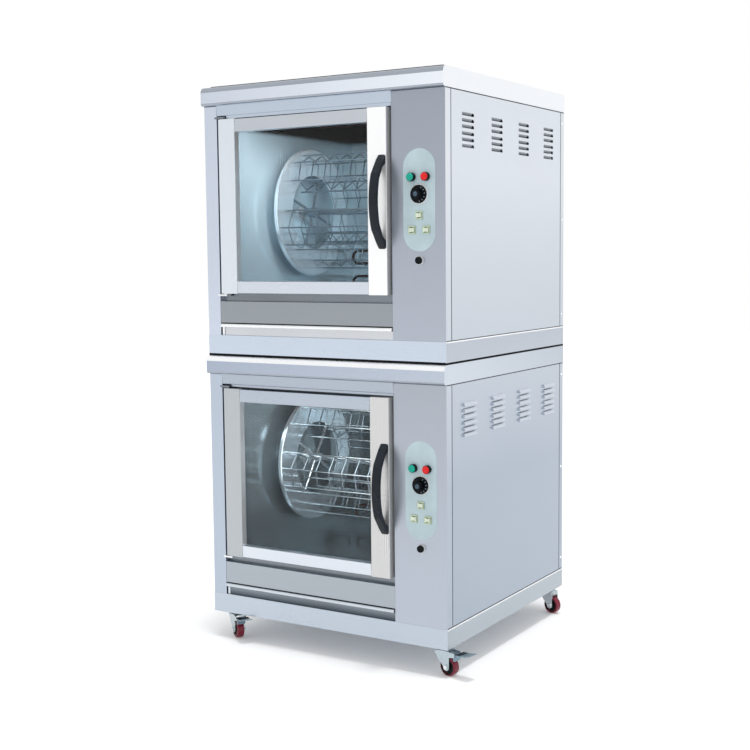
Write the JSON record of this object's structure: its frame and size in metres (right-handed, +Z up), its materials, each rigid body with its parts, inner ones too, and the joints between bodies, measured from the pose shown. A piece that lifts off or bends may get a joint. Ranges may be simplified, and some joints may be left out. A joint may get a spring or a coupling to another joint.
{
  "type": "vertical chicken rotisserie",
  "caption": "Stacked electric rotisserie ovens on locking casters: glazed hinged doors, turning wire baskets, pull-out grease trays and side control panels.",
  "frame": {"origin": "on the floor, under the middle of the whole object", "axes": "+Z up, -Y out of the doors (front), +X to the control panel side"},
  "size_m": [0.8254, 0.815, 1.556],
  "materials": {
    "stainless_steel": "satin brushed",
    "cavity_steel": "bright rolled",
    "rotor_steel": "polished",
    "basket_wire": "bright",
    "hardware": "bright plated",
    "element_sheath": "oxidised",
    "motor_casting": "cast",
    "door_glass": "clear",
    "lamp_glass": "frosted",
    "black_plastic": "satin",
    "panel_film": "satin film",
    "ivory_plastic": "satin",
    "green_lens": "translucent",
    "red_lens": "translucent",
    "red_tread": "satin",
    "black_rubber": "matte"
  },
  "bodies": {
    "cabinet": {"left_side_panels": "stainless_steel", "rear_panels": "stainless_steel", "heating_elements": "element_sheath", "hinge_brackets": "hardware", "shaft_bearings": "hardware", "gear_motors": "motor_casting", "control_plates": "panel_film", "switch_bodies": "black_plastic", "thermostats": "hardware", "indicator_lamps": "green_lens", "oven_lamps": "lamp_glass", "cable_glands": "black_plastic", "panel_screws": "hardware", "caster_plates": "hardware", "lower_base_box": "stainless_steel", "lower_top_cover": "stainless_steel", "lower_right_side_panel": "stainless_steel", "lower_front_frame": "stainless_steel", "lower_control_fascia": "stainless_steel", "lower_oven_liner": "cavity_steel", "upper_base_box": "stainless_steel", "upper_top_cover": "stainless_steel", "upper_right_side_panel": "stainless_steel", "upper_front_frame": "stainless_steel", "upper_control_fascia": "stainless_steel", "upper_oven_liner": "cavity_steel"},
    "lower_door": {"lower_door_frame": "stainless_steel", "lower_door_glass": "door_glass", "lower_door_handle": "black_plastic"},
    "lower_rotor": {"lower_rotor_wheels": "rotor_steel", "lower_rotor_shaft": "hardware", "lower_baskets": "basket_wire"},
    "lower_tray": {"lower_grease_tray": "stainless_steel"},
    "lower_knob": {"lower_thermostat_knob": "black_plastic"},
    "lower_lamp_switch": {"lower_lamp_rocker": "ivory_plastic"},
    "lower_rotation_switch": {"lower_rotation_rocker": "ivory_plastic"},
    "lower_heating_switch": {"lower_heating_rocker": "ivory_plastic"},
    "lower_reset": {"lower_reset_button": "black_plastic"},
    "upper_door": {"upper_door_frame": "stainless_steel", "upper_door_glass": "door_glass", "upper_door_handle": "black_plastic"},
    "upper_rotor": {"upper_rotor_wheels": "rotor_steel", "upper_rotor_shaft": "hardware", "upper_baskets": "basket_wire"},
    "upper_tray": {"upper_grease_tray": "stainless_steel"},
    "upper_knob": {"upper_thermostat_knob": "black_plastic"},
    "upper_lamp_switch": {"upper_lamp_rocker": "ivory_plastic"},
    "upper_rotation_switch": {"upper_rotation_rocker": "ivory_plastic"},
    "upper_heating_switch": {"upper_heating_rocker": "ivory_plastic"},
    "upper_reset": {"upper_reset_button": "black_plastic"},
    "front_left_caster": {"caster_fork_front_left": "hardware"},
    "front_left_wheel": {"caster_wheel_front_left": "red_tread"},
    "front_left_brake": {"brake_pedal_front_left": "hardware"},
    "front_right_caster": {"caster_fork_front_right": "hardware"},
    "front_right_wheel": {"caster_wheel_front_right": "red_tread"},
    "front_right_brake": {"brake_pedal_front_right": "hardware"},
    "rear_left_caster": {"caster_fork_rear_left": "hardware"},
    "rear_left_wheel": {"caster_wheel_rear_left": "red_tread"},
    "rear_right_caster": {"caster_fork_rear_right": "hardware"},
    "rear_right_wheel": {"caster_wheel_rear_right": "red_tread"}
  },
  "joints": [
    {"name": "lower_door_hinge", "type": "hinge", "parent": "cabinet", "child": "lower_door", "pos_m": [-0.34667, -0.3455, 0.476], "axis": [0, 0, 1], "range_deg": [-110, 0]},
    {"name": "lower_rotor_spin", "type": "hinge", "parent": "cabinet", "child": "lower_rotor", "pos_m": [-0.08267, 0.0265, 0.476], "axis": [1, 0, 0], "continuous": true},
    {"name": "lower_tray_slide", "type": "slide", "parent": "cabinet", "child": "lower_tray", "axis": [0, -1, 0], "range_m": [0, 0.45]},
    {"name": "lower_knob_turn", "type": "hinge", "parent": "cabinet", "child": "lower_knob", "pos_m": [0.27133, -0.3555, 0.5], "axis": [0, 1, 0], "range_deg": [0, 300]},
    {"name": "lower_lamp_switch_tilt", "type": "hinge", "parent": "cabinet", "child": "lower_lamp_switch", "pos_m": [0.27133, -0.3425, 0.4475], "axis": [0, 0, 1], "range_deg": [0, 14]},
    {"name": "lower_rotation_switch_tilt", "type": "hinge", "parent": "cabinet", "child": "lower_rotation_switch", "pos_m": [0.25083, -0.3425, 0.411], "axis": [0, 0, 1], "range_deg": [0, 14]},
    {"name": "lower_heating_switch_tilt", "type": "hinge", "parent": "cabinet", "child": "lower_heating_switch", "pos_m": [0.29183, -0.3425, 0.411], "axis": [0, 0, 1], "range_deg": [0, 14]},
    {"name": "lower_reset_press", "type": "slide", "parent": "cabinet", "child": "lower_reset", "axis": [0, 1, 0], "range_m": [0, 0.003], "stiffness_N_per_m": 400},
    {"name": "upper_door_hinge", "type": "hinge", "parent": "cabinet", "child": "upper_door", "pos_m": [-0.34667, -0.3455, 1.216], "axis": [0, 0, 1], "range_deg": [-110, 0]},
    {"name": "upper_rotor_spin", "type": "hinge", "parent": "cabinet", "child": "upper_rotor", "pos_m": [-0.08267, 0.0265, 1.216], "axis": [1, 0, 0], "continuous": true},
    {"name": "upper_tray_slide", "type": "slide", "parent": "cabinet", "child": "upper_tray", "axis": [0, -1, 0], "range_m": [0, 0.45]},
    {"name": "upper_knob_turn", "type": "hinge", "parent": "cabinet", "child": "upper_knob", "pos_m": [0.27133, -0.3555, 1.24], "axis": [0, 1, 0], "range_deg": [0, 300]},
    {"name": "upper_lamp_switch_tilt", "type": "hinge", "parent": "cabinet", "child": "upper_lamp_switch", "pos_m": [0.27133, -0.3425, 1.1875], "axis": [0, 0, 1], "range_deg": [0, 14]},
    {"name": "upper_rotation_switch_tilt", "type": "hinge", "parent": "cabinet", "child": "upper_rotation_switch", "pos_m": [0.25083, -0.3425, 1.151], "axis": [0, 0, 1], "range_deg": [0, 14]},
    {"name": "upper_heating_switch_tilt", "type": "hinge", "parent": "cabinet", "child": "upper_heating_switch", "pos_m": [0.29183, -0.3425, 1.151], "axis": [0, 0, 1], "range_deg": [0, 14]},
    {"name": "upper_reset_press", "type": "slide", "parent": "cabinet", "child": "upper_reset", "axis": [0, 1, 0], "range_m": [0, 0.003], "stiffness_N_per_m": 400},
    {"name": "front_left_swivel", "type": "hinge", "parent": "cabinet", "child": "front_left_caster", "pos_m": [-0.36667, -0.3075, 0.065], "axis": [0, 0, 1], "continuous": true},
    {"name": "front_left_roll", "type": "hinge", "parent": "front_left_caster", "child": "front_left_wheel", "pos_m": [-0.34678, -0.32092, 0.025], "axis": [0.5592, 0.829, 0], "continuous": true},
    {"name": "front_left_brake_press", "type": "hinge", "parent": "front_left_caster", "child": "front_left_brake", "pos_m": [-0.32854, -0.33322, 0.06], "axis": [0.5592, 0.829, 0], "range_deg": [0, 15]},
    {"name": "front_right_swivel", "type": "hinge", "parent": "cabinet", "child": "front_right_caster", "pos_m": [0.31133, -0.3075, 0.065], "axis": [0, 0, 1], "continuous": true},
    {"name": "front_right_roll", "type": "hinge", "parent": "front_right_caster", "child": "front_right_wheel", "pos_m": [0.3348, -0.31249, 0.025], "axis": [0.2079, 0.9781, 0], "continuous": true},
    {"name": "front_right_brake_press", "type": "hinge", "parent": "front_right_caster", "child": "front_right_brake", "pos_m": [0.35632, -0.31706, 0.06], "axis": [0.2079, 0.9781, 0], "range_deg": [0, 15]},
    {"name": "rear_left_swivel", "type": "hinge", "parent": "cabinet", "child": "rear_left_caster", "pos_m": [-0.36667, 0.3565, 0.065], "axis": [0, 0, 1], "continuous": true},
    {"name": "rear_left_roll", "type": "hinge", "parent": "rear_left_caster", "child": "rear_left_wheel", "pos_m": [-0.37084, 0.38014, 0.025], "axis": [-0.9848, -0.1736, 0], "continuous": true},
    {"name": "rear_right_swivel", "type": "hinge", "parent": "cabinet", "child": "rear_right_caster", "pos_m": [0.31133, 0.3565, 0.065], "axis": [0, 0, 1], "continuous": true},
    {"name": "rear_right_roll", "type": "hinge", "parent": "rear_right_caster", "child": "rear_right_wheel", "pos_m": [0.33451, 0.35029, 0.025], "axis": [0.2588, 0.9659, 0], "continuous": true}
  ]
}
